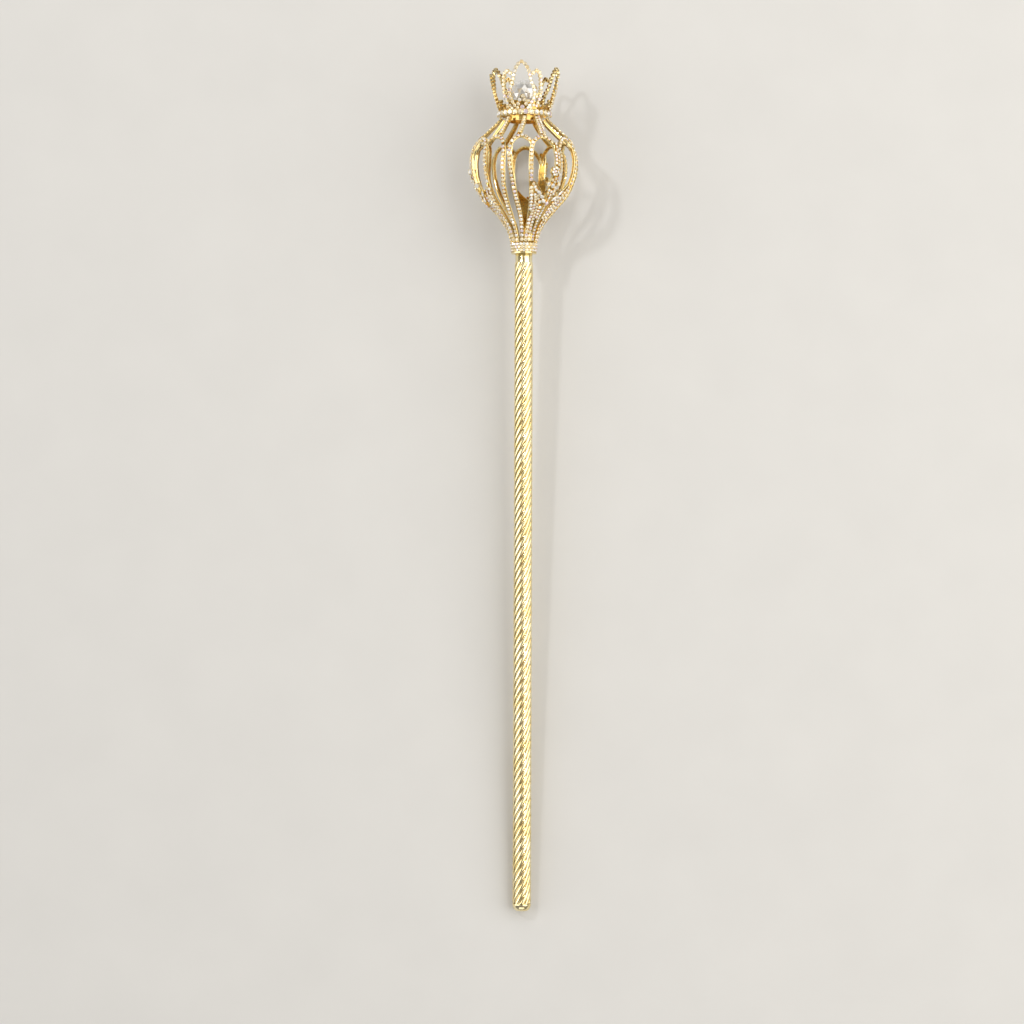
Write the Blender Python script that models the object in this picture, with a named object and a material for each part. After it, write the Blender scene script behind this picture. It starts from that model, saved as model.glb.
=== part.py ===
# Jewelled sceptre lying on its back, with its crown end raised by the width of the head
# Lengths are in metres. Each piece is modelled upright, butt end at the origin and the
# crown on +Z with its front towards -Y, and one empty lays the whole down along +Y.

import bpy
import bmesh
import math
import numpy as np
from mathutils import Vector

MM = 0.001
FIT_CLEARANCE = 0.3 * MM
EDGE_BEVEL = 0.3 * MM

# Butt cap: a rounded end that plugs into the shaft
CAP_ROUND_LENGTH = 2.6 * MM
CAP_BAND_LENGTH = 1.3 * MM
CAP_OVERHANG = 0.19 * MM
CAP_ROUND_DEPTH = 2.4 * MM
CAP_PIN_RADIUS = 2.4 * MM
CAP_PIN_LENGTH = 6.0 * MM
CAP_LENGTH = CAP_ROUND_LENGTH + CAP_BAND_LENGTH

# Shaft: a rope-twisted rod with a plain neck
SHAFT_LENGTH = 354.8 * MM
SHAFT_RADIUS = 4.83 * MM
TWIST_DEPTH = 0.45 * MM
TWIST_LEAD = 45.5 * MM
STRAND_COUNT = 10
RINGS_PER_TURN = 8
NECK_LENGTH = 8.4 * MM
NECK_STEP = 0.43 * MM
TAPER_LENGTH = 0.6 * MM
NECK_RADIUS = SHAFT_RADIUS - NECK_STEP
SHAFT_START = CAP_LENGTH + FIT_CLEARANCE
SHAFT_END = SHAFT_START + SHAFT_LENGTH

# Collar: the socket between shaft and head
SOCKET_DEPTH = 3.7 * MM
COLLAR_ROOF = 1.9 * MM
COLLAR_WALL = 2.25 * MM
COLLAR_FLARE = 0.8 * MM
COLLAR_RIM_HEIGHT = 0.8 * MM
COLLAR_BORE = NECK_RADIUS + FIT_CLEARANCE
COLLAR_RADIUS = COLLAR_BORE + COLLAR_WALL
COLLAR_START = SHAFT_END - SOCKET_DEPTH
COLLAR_END = SHAFT_END + FIT_CLEARANCE + COLLAR_ROOF

# Head: openwork panels on a surface of revolution
PANEL_COUNT = 3
FRONT_PANEL_ANGLE = 40.0
HEAD_LENGTH = 67.4 * MM
HEAD_RADIUS = 29.6 * MM
PANEL_GAP = 1.0 * MM
RIB_THICKNESS = 2.3 * MM
SIDE_RIB_WIDTH = 2.4 * MM
BORDER_RIB_WIDTH = 2.3 * MM
ARCH_WIDTH = 2.1 * MM
NECK_RIB_WIDTH = 2.5 * MM
MAIN_NECK_RIB_WIDTH = 3.2 * MM
SPRAY_WIDTH = 5.8 * MM
SPRAY_THICKNESS = 3.1 * MM
SPRAY_LIFT = 0.4 * MM
LEAF_WIDTH = 7.4 * MM
LEAF_THICKNESS = 1.9 * MM
RAIL_WIDTH = 1.6 * MM
RAIL_THICKNESS = 1.6 * MM
FOOT_BAND_HEIGHT = 2.4 * MM
FOOT_BAND_THICKNESS = 1.5 * MM
FACE_STEP = 0.03 * MM
BORDER_SINK = 0.02 * MM
OUTER_ARCH_SINK = 0.17 * MM
INNER_ARCH_SINK = 0.22 * MM
NECK_SINK = 0.06 * MM
LEAF_SINK = 0.28 * MM
RAIL_SINK = 0.42 * MM
FOOT_SINK = 0.55 * MM
HEAD_START = COLLAR_END + FIT_CLEARANCE
HEAD_END = HEAD_START + HEAD_LENGTH

# Head outline: share of the length, share of the radius
HEAD_OUTLINE = (
    (0.0, 0.263), (0.012, 0.267), (0.052, 0.291), (0.101, 0.334), (0.141, 0.389),
    (0.19, 0.473), (0.237, 0.564), (0.285, 0.662), (0.341, 0.77), (0.39, 0.845),
    (0.43, 0.889), (0.47, 0.926), (0.534, 0.976), (0.599, 0.997), (0.663, 1.0),
    (0.727, 0.97), (0.774, 0.932), (0.807, 0.895), (0.84, 0.831), (0.88, 0.713),
    (0.92, 0.622), (0.953, 0.537), (0.985, 0.47), (1.0, 0.449),
)

# Crown: a band and groups of petals, each on a curved plate
PETAL_GROUPS = 3
FRONT_PETAL_ANGLE = -5.0
CROWN_LENGTH = 28.4 * MM
CROWN_BASE_RADIUS = 14.3 * MM
CROWN_FLARE = 5.9 * MM
BAND_STEP = 0.6 * MM
BAND_HEIGHT = 2.8 * MM
PLATE_HEIGHT = 7.4 * MM
PLATE_SINK = 0.5 * MM
WALL_INSET = 0.45 * MM
WALL_THICKNESS = 1.3 * MM
FLOOR_THICKNESS = 1.2 * MM
SKIRT_GAP = 1.4 * MM
SKIRT_THICKNESS = 1.2 * MM
SKIRT_DEPTH = 2.4 * MM
SEAT_THICKNESS = 2.7 * MM
SEAT_SHARE = 0.7
PETAL_WIDTH = 1.9 * MM
PETAL_THICKNESS = 1.8 * MM
LEFT_FLANK_SINK = 0.12 * MM
RIGHT_FLANK_SINK = 0.1 * MM
CROWN_START = HEAD_END + FIT_CLEARANCE

# Crown outline: share of the length, share of the flare
CROWN_OUTLINE = (
    (0.0, 0.0), (0.106, 0.017), (0.18, 0.119), (0.335, 0.356), (0.521, 0.61),
    (0.662, 0.746), (0.81, 0.864), (1.0, 1.0),
)

# Crystal ball
BALL_RADIUS = 8.0 * MM
BALL_SIDES = 12
BALL_HEIGHT = CROWN_START + FLOOR_THICKNESS + SEAT_THICKNESS + FIT_CLEARANCE + BALL_RADIUS

# Lying pose: flat spots on the head and on the butt cap touch the ground
HEAD_FLAT_DEPTH = 0.95 * MM
CAP_FLAT_DEPTH = 0.15 * MM
HEAD_REST_HEIGHT = HEAD_START + 0.663 * HEAD_LENGTH
HEAD_REST_RADIUS = HEAD_RADIUS - HEAD_FLAT_DEPTH
CAP_REST_RADIUS = SHAFT_RADIUS + CAP_OVERHANG - CAP_FLAT_DEPTH


def clear_scene():
    for item in list(bpy.data.objects):
        bpy.data.objects.remove(item, do_unlink=True)


def make_material(name, color, metallic, roughness, transmission=0.0):
    material = bpy.data.materials.new(name)
    material.use_nodes = True
    shader = material.node_tree.nodes["Principled BSDF"]
    shader.inputs["Base Color"].default_value = (color[0], color[1], color[2], 1.0)
    shader.inputs["Metallic"].default_value = metallic
    shader.inputs["Roughness"].default_value = roughness
    shader.inputs["Transmission Weight"].default_value = transmission
    return material


def make_object(name, points, faces):
    mesh = bpy.data.meshes.new(name)
    mesh.from_pydata([tuple(point) for point in points], [], faces)
    mesh.update()
    shape = bmesh.new()
    shape.from_mesh(mesh)
    bmesh.ops.recalc_face_normals(shape, faces=shape.faces)
    shape.to_mesh(mesh)
    shape.free()
    item = bpy.data.objects.new(name, mesh)
    bpy.context.scene.collection.objects.link(item)
    return item


# Surfaces of revolution: a form is its start, length, base radius, spread and outline
def head_form():
    return HEAD_START, HEAD_LENGTH, 0.0, HEAD_RADIUS, HEAD_OUTLINE


def crown_form():
    return CROWN_START, CROWN_LENGTH, CROWN_BASE_RADIUS, CROWN_FLARE, CROWN_OUTLINE


def radius_at(form, share):
    base, spread, outline = form[2], form[3], form[4]
    shares = [row[0] for row in outline]
    sizes = [row[1] for row in outline]
    samples = [share - 0.012, share, share + 0.012]
    return base + spread * float(np.mean(np.interp(samples, shares, sizes)))


def surface_point(form, angle, share, lift):
    start, length = form[0], form[1]
    radius = radius_at(form, share)
    slope = (radius_at(form, share + 0.015) - radius_at(form, share - 0.015)) / (0.03 * length)
    turn = math.radians(angle)
    outward = Vector((math.sin(turn), -math.cos(turn), 0.0))
    normal = (outward - Vector((0.0, 0.0, slope))).normalized()
    point = outward * radius + Vector((0.0, 0.0, start + length * share))
    return point + normal * lift, normal


def smooth_path(controls, steps):
    rows = [np.array(row, dtype=float) for row in controls]
    rows = [2 * rows[0] - rows[1]] + rows + [2 * rows[-1] - rows[-2]]
    samples = []
    for index in range(1, len(rows) - 2):
        before, start, end, after = rows[index - 1:index + 3]
        for step in range(steps):
            part = step / steps
            samples.append(0.5 * (
                2 * start
                + (end - before) * part
                + (2 * before - 5 * start + 4 * end - after) * part ** 2
                + (3 * start - before - 3 * end + after) * part ** 3
            ))
    samples.append(rows[-2])
    return samples


# Bars: a rectangular section swept along rows of angle, share of the length and width
def sweep_bar(form, controls, thickness, lift, steps, turn):
    samples = smooth_path(controls, steps)
    centres = []
    normals = []
    for angle, share, width in samples:
        point, normal = surface_point(form, angle + turn, share, lift)
        centres.append(point)
        normals.append(normal)
    points = []
    last = len(samples) - 1
    for index, row in enumerate(samples):
        ahead = centres[min(index + 1, last)] - centres[max(index - 1, 0)]
        side = ahead.normalized().cross(normals[index]).normalized()
        half = side * (row[2] / 2)
        inner = centres[index] - normals[index] * thickness
        points.append(centres[index] - half)
        points.append(centres[index] + half)
        points.append(inner + half)
        points.append(inner - half)
    faces = []
    for index in range(last):
        base = 4 * index
        for corner in range(4):
            following = (corner + 1) % 4
            faces.append((base + corner, base + following,
                          base + 4 + following, base + 4 + corner))
    faces.append((3, 2, 1, 0))
    faces.append((4 * last, 4 * last + 1, 4 * last + 2, 4 * last + 3))
    return make_object("bar", points, faces)


def mirrored(controls):
    return [(-angle, share, width) for angle, share, width in controls]


# Lathe: rows of radius and height from one end of the axis to the other
def lathe(name, rows, sides):
    points = []
    rings = []
    for radius, height in rows:
        if radius < 1e-7:
            rings.append([len(points)])
            points.append((0.0, 0.0, height))
            continue
        ring = []
        for index in range(sides):
            turn = 2 * math.pi * index / sides
            ring.append(len(points))
            points.append((radius * math.sin(turn), -radius * math.cos(turn), height))
        rings.append(ring)
    return make_object(name, points, ring_faces(rings, sides))


def ring_faces(rings, sides):
    faces = []
    for low, high in zip(rings, rings[1:]):
        for index in range(sides):
            following = (index + 1) % sides
            if len(low) == 1:
                faces.append((low[0], high[following], high[index]))
            elif len(high) == 1:
                faces.append((low[index], low[following], high[0]))
            else:
                faces.append((low[index], low[following], high[following], high[index]))
    return faces


# Joining: every further piece is merged into the first and then dropped
def union(first, others):
    for other in others:
        step = first.modifiers.new("join", "BOOLEAN")
        step.operation = "UNION"
        step.solver = "EXACT"
        step.object = other
        settle(first)
        bpy.data.objects.remove(other, do_unlink=True)
    return first


def settle(item):
    bpy.context.view_layer.update()
    graph = bpy.context.evaluated_depsgraph_get()
    mesh = bpy.data.meshes.new_from_object(item.evaluated_get(graph))
    item.modifiers.clear()
    item.data = mesh
    shape = bmesh.new()
    shape.from_mesh(mesh)
    bmesh.ops.remove_doubles(shape, verts=shape.verts, dist=0.00001)
    bmesh.ops.dissolve_degenerate(shape, edges=shape.edges, dist=0.00001)
    bmesh.ops.triangulate(shape, faces=shape.faces)
    shape.to_mesh(mesh)
    shape.free()


# Shaft
def build_shaft():
    sides = STRAND_COUNT * 2
    bore = CAP_PIN_RADIUS + FIT_CLEARANCE
    bore_end = CAP_LENGTH + CAP_PIN_LENGTH + FIT_CLEARANCE
    points = [(0.0, 0.0, bore_end)]
    rings = [[0]]

    def add_ring(radius, depth, height, turn):
        ring = []
        for index in range(sides):
            angle = 2 * math.pi * index / sides + turn
            reach = radius - depth * (index % 2)
            ring.append(len(points))
            points.append((reach * math.sin(angle), -reach * math.cos(angle), height))
        rings.append(ring)

    twist_start = SHAFT_START + TAPER_LENGTH
    twist_end = SHAFT_END - NECK_LENGTH
    add_ring(bore, 0.0, bore_end, 0.0)
    add_ring(bore, 0.0, SHAFT_START, 0.0)
    add_ring(SHAFT_RADIUS - TWIST_DEPTH, 0.0, SHAFT_START, 0.0)
    turns = (twist_end - twist_start) / TWIST_LEAD
    count = round(turns * RINGS_PER_TURN)
    for step in range(count + 1):
        part = step / count
        height = twist_start + (twist_end - twist_start) * part
        add_ring(SHAFT_RADIUS, TWIST_DEPTH, height, 2 * math.pi * turns * part)
    final = 2 * math.pi * turns
    add_ring(NECK_RADIUS, 0.0, twist_end + TAPER_LENGTH, final)
    add_ring(NECK_RADIUS, 0.0, SHAFT_END, final)
    rings.append([len(points)])
    points.append((0.0, 0.0, SHAFT_END))
    return make_object("shaft", points, ring_faces(rings, sides))


# Butt cap
def build_cap():
    outer = SHAFT_RADIUS + CAP_OVERHANG
    rows = [(0.0, 0.0), (outer - CAP_ROUND_DEPTH, 0.0)]
    steps = 4
    for step in range(1, steps + 1):
        turn = math.pi / 2 * step / steps
        radius = outer - CAP_ROUND_DEPTH * (1 - math.sin(turn))
        rows.append((radius, CAP_ROUND_LENGTH * (1 - math.cos(turn))))
    rows.append((outer, CAP_LENGTH))
    rows.append((CAP_PIN_RADIUS, CAP_LENGTH))
    rows.append((CAP_PIN_RADIUS, CAP_LENGTH + CAP_PIN_LENGTH))
    rows.append((0.0, CAP_LENGTH + CAP_PIN_LENGTH))
    return lathe("butt_cap", rows, 20)


# Collar
def build_collar():
    upper = COLLAR_RADIUS + COLLAR_FLARE
    rows = [
        (0.0, COLLAR_END - COLLAR_ROOF),
        (COLLAR_BORE, COLLAR_END - COLLAR_ROOF),
        (COLLAR_BORE, COLLAR_START),
        (COLLAR_RADIUS - EDGE_BEVEL, COLLAR_START),
        (COLLAR_RADIUS, COLLAR_START + EDGE_BEVEL),
        (COLLAR_RADIUS, COLLAR_START + COLLAR_RIM_HEIGHT),
        (upper, COLLAR_END - EDGE_BEVEL),
        (upper - EDGE_BEVEL, COLLAR_END),
        (0.0, COLLAR_END),
    ]
    return lathe("collar", rows, 24)


# Head panels: angles are for a sector of 120 degrees, with the spray on its middle line
SIDE_ROWS = (
    (34.0, 0.0, 0.75), (29.0, 0.082, 0.75), (27.2, 0.156, 0.83), (28.0, 0.23, 0.88),
    (29.5, 0.304, 0.92), (31.0, 0.386, 1.0), (32.0, 0.467, 1.0), (32.6, 0.556, 1.0),
    (32.6, 0.645, 1.0), (31.8, 0.72, 1.0), (29.5, 0.773, 1.0),
)
BORDER_ROWS = (
    (0.35, 0.0, 0.78), (3.5, 0.082, 0.78), (5.6, 0.156, 0.83), (5.4, 0.23, 0.87),
    (4.4, 0.304, 0.91), (3.3, 0.378, 1.0), (2.3, 0.46, 1.0), (1.4, 0.542, 1.0),
    (0.6, 0.623, 1.0), (0.2, 0.69, 1.0), (1.1, 0.742, 1.0),
)
OUTER_ARCH_ROWS = (
    (30.6, 0.746, 1.0), (33.5, 0.783, 1.0), (39.0, 0.815, 1.0), (45.0, 0.826, 1.0),
    (50.5, 0.809, 1.0), (54.3, 0.773, 1.0), (56.3, 0.726, 1.0),
)
INNER_ARCH_ROWS = (
    (31.0, 0.752, 1.0), (27.0, 0.791, 1.0), (20.5, 0.819, 1.0), (13.0, 0.812, 1.0),
    (7.0, 0.776, 1.0), (2.5, 0.728, 1.0), (0.0, 0.668, 1.0),
)
NECK_ROWS = ((39.0, 1.0, 1.0), (43.5, 0.92, 1.0), (48.0, 0.823, 1.0))
MAIN_NECK_ROWS = ((-8.0, 1.0, 1.0), (-12.0, 0.92, 1.0), (-16.8, 0.82, 1.0))
SPRAY_ROWS = (
    (-2.6, 0.767, 0.55), (-2.4, 0.712, 0.72), (-1.2, 0.653, 0.92), (-0.6, 0.593, 1.0),
    (-1.0, 0.527, 1.0), (-2.2, 0.467, 1.22), (-3.2, 0.408, 1.05), (-3.0, 0.356, 0.8),
    (-2.0, 0.297, 0.62),
)
LEAF_ROWS = (
    (29.6, 0.438, 0.35), (25.6, 0.393, 0.49), (20.8, 0.343, 0.78), (17.8, 0.289, 1.0),
    (17.0, 0.223, 0.8), (17.2, 0.141, 0.55), (18.4, 0.067, 0.46), (20.0, 0.006, 0.45),
)
RAIL_ROWS = ((-1.5, 0.319, 1.0), (-1.5, 0.2, 0.94), (-0.5, 0.096, 0.87), (0.0, 0.006, 0.87))
FOOT_SHARE = 0.021


def sized(rows, width):
    scale = 3.0 / PANEL_COUNT
    return [(angle * scale, share, factor * width) for angle, share, factor in rows]


# The border rib keeps half the gap from the next panel, whatever its width
def border_angle(spread, share, width):
    reach = (PANEL_GAP + width) / 2 / radius_at(head_form(), share)
    return 180.0 / PANEL_COUNT - math.degrees(reach) - spread * 3.0 / PANEL_COUNT


def border_path():
    path = []
    for spread, share, factor in BORDER_ROWS:
        width = factor * BORDER_RIB_WIDTH
        path.append((border_angle(spread, share, width), share, width))
    return path


def foot_path():
    width = BORDER_ROWS[0][2] * BORDER_RIB_WIDTH
    end = border_angle(BORDER_ROWS[0][0], 0.0, width)
    return [(end * part, FOOT_SHARE, FOOT_BAND_HEIGHT) for part in (-1.0, -0.33, 0.33, 1.0)]


def build_panel(name, turn):
    head = head_form()
    thick = RIB_THICKNESS
    bars = []
    for side in (1, -1):
        rows = (
            (sized(SIDE_ROWS, SIDE_RIB_WIDTH), thick + FACE_STEP * side, 0.0, 1),
            (border_path(), thick - FACE_STEP * side, -BORDER_SINK, 1),
            (sized(OUTER_ARCH_ROWS, ARCH_WIDTH), thick * 0.85, -OUTER_ARCH_SINK, 1),
            (sized(INNER_ARCH_ROWS, ARCH_WIDTH), thick * 0.8, -INNER_ARCH_SINK, 1),
            (sized(NECK_ROWS, NECK_RIB_WIDTH), thick * 0.93, -NECK_SINK, 1),
            (sized(LEAF_ROWS, LEAF_WIDTH), LEAF_THICKNESS + FACE_STEP * side, -LEAF_SINK, 1),
        )
        for path, depth, lift, steps in rows:
            place = path if side == 1 else mirrored(path)
            bars.append(sweep_bar(head, place, depth, lift, steps, turn))
    rows = (
        (sized(MAIN_NECK_ROWS, MAIN_NECK_RIB_WIDTH), thick * 0.96, FACE_STEP, 1),
        (sized(SPRAY_ROWS, SPRAY_WIDTH), SPRAY_THICKNESS, SPRAY_LIFT, 1),
        (sized(RAIL_ROWS, RAIL_WIDTH), RAIL_THICKNESS, -RAIL_SINK, 1),
        (foot_path(), FOOT_BAND_THICKNESS, -FOOT_SINK, 3),
    )
    for path, depth, lift, steps in rows:
        bars.append(sweep_bar(head, path, depth, lift, steps, turn))
    panel = union(bars[0], bars[1:])
    panel.name = name
    panel.data.name = name
    return panel


# Crown petals: rows of angle from the middle of the group and share of the crown length
TALL_ROWS = (
    (15.0, 0.13), (20.5, 0.232), (24.6, 0.366), (22.3, 0.489), (17.0, 0.592),
    (13.9, 0.708), (11.4, 0.81), (6.2, 0.908),
)
TALL_TIP = 0.961

# Plates behind the petals: rows of angle and share of the plate's height
PLATE_ROWS = (
    (-37.0, 0.55), (-31.0, 0.85), (-16.0, 1.0), (0.0, 0.9), (16.0, 1.0), (31.0, 0.85),
    (37.0, 0.55),
)
FLANK_ROWS = (
    (13.2, 0.683), (19.5, 0.754), (26.8, 0.803), (31.6, 0.732), (34.2, 0.627),
    (36.2, 0.486), (36.8, 0.38), (35.2, 0.275), (33.0, 0.176),
)


def petal_path(rows):
    scale = 3.0 / PETAL_GROUPS
    return [(angle * scale, share, PETAL_WIDTH) for angle, share in rows]


# A plate's lower edge is sunk into the band at every angle
def plate_path():
    scale = 3.0 / PETAL_GROUPS
    path = []
    for angle, factor in PLATE_ROWS:
        height = factor * PLATE_HEIGHT
        middle = BAND_HEIGHT - PLATE_SINK + height / 2
        path.append((angle * scale, middle / CROWN_LENGTH, height))
    return path


def build_crown():
    crown = crown_form()
    low = radius_at(crown, BAND_HEIGHT / CROWN_LENGTH) - WALL_INSET
    band = CROWN_BASE_RADIUS + BAND_STEP
    floor = CROWN_START + FLOOR_THICKNESS
    skirt = radius_at(head_form(), 1.0) - RIB_THICKNESS - SKIRT_GAP
    seat = BALL_RADIUS + FIT_CLEARANCE
    post = SEAT_SHARE * BALL_RADIUS
    rows = [
        (0.0, CROWN_START),
        (skirt - SKIRT_THICKNESS, CROWN_START),
        (skirt - SKIRT_THICKNESS, CROWN_START - SKIRT_DEPTH),
        (skirt, CROWN_START - SKIRT_DEPTH),
        (skirt, CROWN_START),
        (band - EDGE_BEVEL, CROWN_START),
        (band, CROWN_START + EDGE_BEVEL),
        (band, CROWN_START + BAND_HEIGHT - EDGE_BEVEL),
        (band - EDGE_BEVEL, CROWN_START + BAND_HEIGHT),
        (low - WALL_THICKNESS, CROWN_START + BAND_HEIGHT),
        (low - WALL_THICKNESS, floor),
        (post + EDGE_BEVEL, floor),
    ]
    for part in (1.0, 0.55):
        radius = post * part
        rows.append((radius, BALL_HEIGHT - math.sqrt(seat ** 2 - radius ** 2)))
    rows.append((0.0, BALL_HEIGHT - seat))
    body = lathe("crown", rows, 24)
    left = [(-angle, share) for angle, share in TALL_ROWS]
    tall = petal_path(left + [(0.0, TALL_TIP)] + list(reversed(TALL_ROWS)))
    flank = petal_path(FLANK_ROWS)
    plate = plate_path()
    bars = []
    for group in range(PETAL_GROUPS):
        turn = FRONT_PETAL_ANGLE + group * 360.0 / PETAL_GROUPS
        bars.append(sweep_bar(crown, plate, WALL_THICKNESS, -WALL_INSET, 1, turn))
        bars.append(sweep_bar(crown, tall, PETAL_THICKNESS, 0.0, 1, turn))
        bars.append(sweep_bar(crown, flank, PETAL_THICKNESS * 0.9, -RIGHT_FLANK_SINK, 1, turn))
        bars.append(sweep_bar(crown, mirrored(flank), PETAL_THICKNESS * 0.87,
                              -LEFT_FLANK_SINK, 1, turn))
    return union(body, bars)


# Crystal ball
def build_ball():
    latitudes = (-68, -42, -14, 14, 42, 68)
    points = []
    rings = []
    for row, latitude in enumerate(latitudes):
        ring = []
        level = math.radians(latitude)
        for index in range(BALL_SIDES):
            turn = 2 * math.pi * (index + 0.5 * (row % 2)) / BALL_SIDES
            ring.append(len(points))
            points.append((
                BALL_RADIUS * math.cos(level) * math.sin(turn),
                -BALL_RADIUS * math.cos(level) * math.cos(turn),
                BALL_HEIGHT + BALL_RADIUS * math.sin(level),
            ))
        rings.append(ring)
    faces = [tuple(reversed(rings[0])), tuple(rings[-1])]
    for row, (low, high) in enumerate(zip(rings, rings[1:])):
        for index in range(BALL_SIDES):
            following = (index + 1) % BALL_SIDES
            if row % 2 == 0:
                faces.append((low[index], low[following], high[index]))
                faces.append((high[index], low[following], high[following]))
            else:
                faces.append((low[index], high[following], high[index]))
                faces.append((low[index], low[following], high[following]))
    return make_object("crystal_ball", points, faces)


# Lying pose
def lay_down(items):
    rise = (HEAD_REST_RADIUS - CAP_REST_RADIUS) / (HEAD_REST_HEIGHT - CAP_LENGTH)
    tilt = math.atan(rise)
    base = CAP_REST_RADIUS - CAP_LENGTH * rise
    holder = bpy.data.objects.new("lying_frame", None)
    bpy.context.scene.collection.objects.link(holder)
    holder.rotation_euler = (tilt - math.pi / 2, 0.0, 0.0)
    holder.location = (0.0, 0.0, base * math.cos(tilt))
    for item in items:
        item.parent = holder
    return holder


def centre_on_origin(items, holder):
    bpy.context.view_layer.update()
    places = []
    for item in items:
        places.extend(item.matrix_world @ vertex.co for vertex in item.data.vertices)
    for axis in (0, 1):
        reach = [place[axis] for place in places]
        holder.location[axis] -= (min(reach) + max(reach)) / 2
    bpy.context.view_layer.update()


# Flat spots: whatever reaches below the ground plane is cut away
def cut_flat(item):
    span = SHAFT_LENGTH + HEAD_LENGTH + CROWN_LENGTH
    corners = []
    for x in (-2 * HEAD_RADIUS, 2 * HEAD_RADIUS):
        for y in (-0.5 * span, 2 * span):
            for z in (-HEAD_RADIUS, 0.0):
                corners.append((x, y, z))
    faces = [(0, 1, 3, 2), (4, 6, 7, 5), (0, 4, 5, 1), (2, 3, 7, 6), (0, 2, 6, 4), (1, 5, 7, 3)]
    block = make_object("ground_block", corners, faces)
    step = item.modifiers.new("flat", "BOOLEAN")
    step.operation = "DIFFERENCE"
    step.solver = "EXACT"
    step.object = block
    settle(item)
    bpy.data.objects.remove(block, do_unlink=True)


def main():
    clear_scene()
    rod_gold = make_material("twisted_gold_rod", (0.85, 0.66, 0.32), 1.0, 0.18)
    cap_gold = make_material("gold_end_cap", (0.80, 0.60, 0.27), 1.0, 0.22)
    collar_gold = make_material("stone_set_collar", (0.86, 0.76, 0.55), 1.0, 0.3)
    crown_gold = make_material("stone_set_crown", (0.86, 0.72, 0.45), 1.0, 0.25)
    crystal = make_material("clear_crystal", (0.95, 0.96, 1.0), 0.0, 0.02, 1.0)

    shaft = build_shaft()
    cap = build_cap()
    collar = build_collar()
    panels = []
    for index in range(PANEL_COUNT):
        turn = FRONT_PANEL_ANGLE + index * 360.0 / PANEL_COUNT
        panels.append(build_panel("head_panel_%d" % (index + 1), turn))
    crown = build_crown()
    ball = build_ball()

    finishes = [(shaft, rod_gold), (cap, cap_gold), (collar, collar_gold), (crown, crown_gold)]
    finishes.append((ball, crystal))
    for number, panel in enumerate(panels):
        name = "stone_set_panel_%d" % (number + 1)
        finishes.append((panel, make_material(name, (0.83, 0.64, 0.32), 1.0, 0.22)))
    for item, material in finishes:
        item.data.materials.clear()
        item.data.materials.append(material)

    items = [item for item, material in finishes]
    holder = lay_down(items)
    for item in panels + [cap]:
        cut_flat(item)
    centre_on_origin(items, holder)


main()
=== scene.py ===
"""Jewelled sceptre lying on its back: twisted rod, openwork head, crown and crystal ball.

The pieces are modelled upright, butt end at the origin, crown on +Z and front towards -Y,
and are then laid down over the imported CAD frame.
"""

import math

import bmesh
import bpy
import numpy as np
from bpy.props import FloatProperty, FloatVectorProperty, IntProperty, PointerProperty
from mathutils import Matrix, Vector


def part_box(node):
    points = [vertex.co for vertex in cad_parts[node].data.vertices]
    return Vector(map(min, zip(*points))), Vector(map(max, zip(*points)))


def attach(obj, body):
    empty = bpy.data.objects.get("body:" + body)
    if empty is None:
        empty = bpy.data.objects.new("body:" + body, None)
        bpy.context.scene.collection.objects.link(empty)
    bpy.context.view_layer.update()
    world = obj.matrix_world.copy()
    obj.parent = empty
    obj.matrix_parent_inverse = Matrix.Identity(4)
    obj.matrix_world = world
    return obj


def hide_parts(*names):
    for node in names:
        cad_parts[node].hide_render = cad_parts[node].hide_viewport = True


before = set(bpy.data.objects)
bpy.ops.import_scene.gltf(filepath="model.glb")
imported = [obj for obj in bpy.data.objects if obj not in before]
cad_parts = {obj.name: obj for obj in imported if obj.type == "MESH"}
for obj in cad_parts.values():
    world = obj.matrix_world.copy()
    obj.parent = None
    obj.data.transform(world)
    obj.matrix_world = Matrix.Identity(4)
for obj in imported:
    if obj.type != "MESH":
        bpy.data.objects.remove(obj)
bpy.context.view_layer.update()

bl_info = {
    "name": "Jewelled Sceptre",
    "version": (1, 0, 0),
    "blender": (4, 5, 0),
    "location": "View3D > Sidebar > Sceptre",
    "description": "Builds the visible pieces of a jewelled sceptre around its CAD frame",
    "category": "Add Mesh",
}

MM = 0.001

# Heights along the axis, from the butt end
CAP_LENGTH = 3.9 * MM
ROD_START = 4.2 * MM
ROD_END = 359.0 * MM
NECK_START = 350.6 * MM
NECK_RADIUS = 4.6 * MM
COLLAR_START = 355.3 * MM
COLLAR_END = 361.2 * MM
HEAD_START = 361.5 * MM
HEAD_LENGTH = 67.4 * MM
HEAD_RADIUS = 29.6 * MM
CROWN_START = 429.2 * MM
CROWN_LENGTH = 28.4 * MM
CROWN_BASE_RADIUS = 14.3 * MM
CROWN_FLARE = 5.9 * MM
BALL_HEIGHT = 441.4 * MM
CAP_RADIUS = 5.02 * MM

# Outline of the head: share of its length, share of its radius
HEAD_OUTLINE = (
    (0.0, 0.263), (0.012, 0.267), (0.052, 0.291), (0.101, 0.334), (0.141, 0.389),
    (0.19, 0.473), (0.237, 0.564), (0.285, 0.662), (0.341, 0.77), (0.39, 0.845),
    (0.43, 0.889), (0.47, 0.926), (0.534, 0.976), (0.599, 0.997), (0.663, 1.0),
    (0.727, 0.97), (0.774, 0.932), (0.807, 0.895), (0.84, 0.831), (0.88, 0.713),
    (0.92, 0.622), (0.953, 0.537), (0.985, 0.47), (1.0, 0.449),
)
CROWN_OUTLINE = (
    (0.0, 0.0), (0.106, 0.017), (0.18, 0.119), (0.335, 0.356), (0.521, 0.61),
    (0.662, 0.746), (0.81, 0.864), (1.0, 1.0),
)
HEAD = (HEAD_START, HEAD_LENGTH, 0.0, HEAD_RADIUS, HEAD_OUTLINE)
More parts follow.
